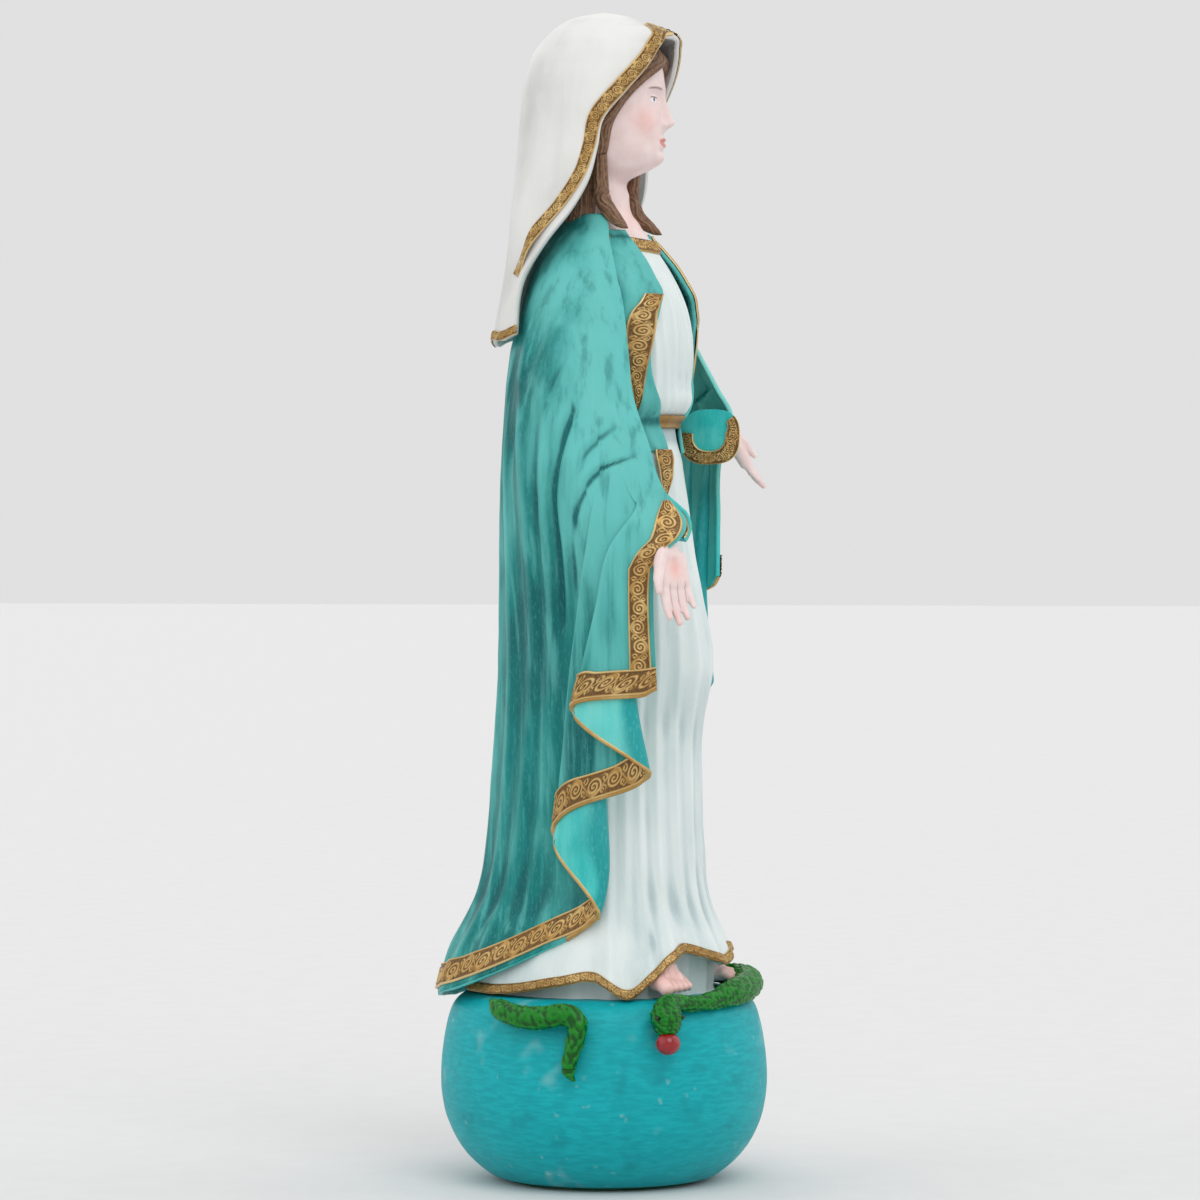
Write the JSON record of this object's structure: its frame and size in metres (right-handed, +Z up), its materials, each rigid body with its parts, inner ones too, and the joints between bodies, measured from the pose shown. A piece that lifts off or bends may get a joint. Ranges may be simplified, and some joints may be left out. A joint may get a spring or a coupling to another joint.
{
  "type": "madonna statue",
  "caption": "Standing robed and veiled figure with open hands, on a globe with a serpent and apple, cast in painted resin.",
  "frame": {"origin": "centre of the felt pad's underside, on the surface that the statue stands on", "axes": "+Z up; the figure faces -Y; its right hand is on the -X side"},
  "size_m": [0.1192, 0.1146, 0.4],
  "materials": {
    "globe_paint": "brushed turquoise-blue paint over resin, pale cloudy patches",
    "gown_paint": "satin white paint over resin, grey wash in the folds",
    "mantle_paint": "dry-brushed turquoise paint over resin, satin",
    "veil_paint": "warm white paint over resin, faint grey wash",
    "gold_paint": "antique gold paint on relief, brown in the recesses",
    "skin_paint": "pale pink paint, satin, soft blush",
    "hair_paint": "brown paint, dry-brushed lighter on the strands",
    "snake_paint": "glossy green paint over a bumpy cast skin",
    "apple_paint": "glossy red paint",
    "steel": "plain drawn wire",
    "felt": "dark green felt"
  },
  "bodies": {
    "root": {"globe": "globe_paint", "gown": "gown_paint", "mantle": "mantle_paint", "right_lapel": "mantle_paint", "left_lapel": "mantle_paint", "right_inner_sleeve": "mantle_paint", "left_inner_sleeve": "mantle_paint", "veil": "veil_paint", "gown_hem_trim": "gold_paint", "girdle": "gold_paint", "neckline_trim": "gold_paint", "right_hem_trim": "gold_paint", "left_hem_trim": "gold_paint", "right_cuff_trim": "gold_paint", "left_cuff_trim": "gold_paint", "right_lapel_trim": "gold_paint", "left_lapel_trim": "gold_paint", "veil_right_trim": "gold_paint", "veil_left_trim": "gold_paint", "veil_hem_trim": "gold_paint", "head": "skin_paint", "right_hand": "skin_paint", "left_hand": "skin_paint", "right_foot": "skin_paint", "left_foot": "skin_paint", "hair": "hair_paint", "right_hair_lock": "hair_paint", "left_hair_lock": "hair_paint", "snake_front": "snake_paint", "snake_tail": "snake_paint", "apple": "apple_paint", "right_hand_pin": "steel", "left_hand_pin": "steel", "base_felt": "felt"}
  },
  "joints": []
}
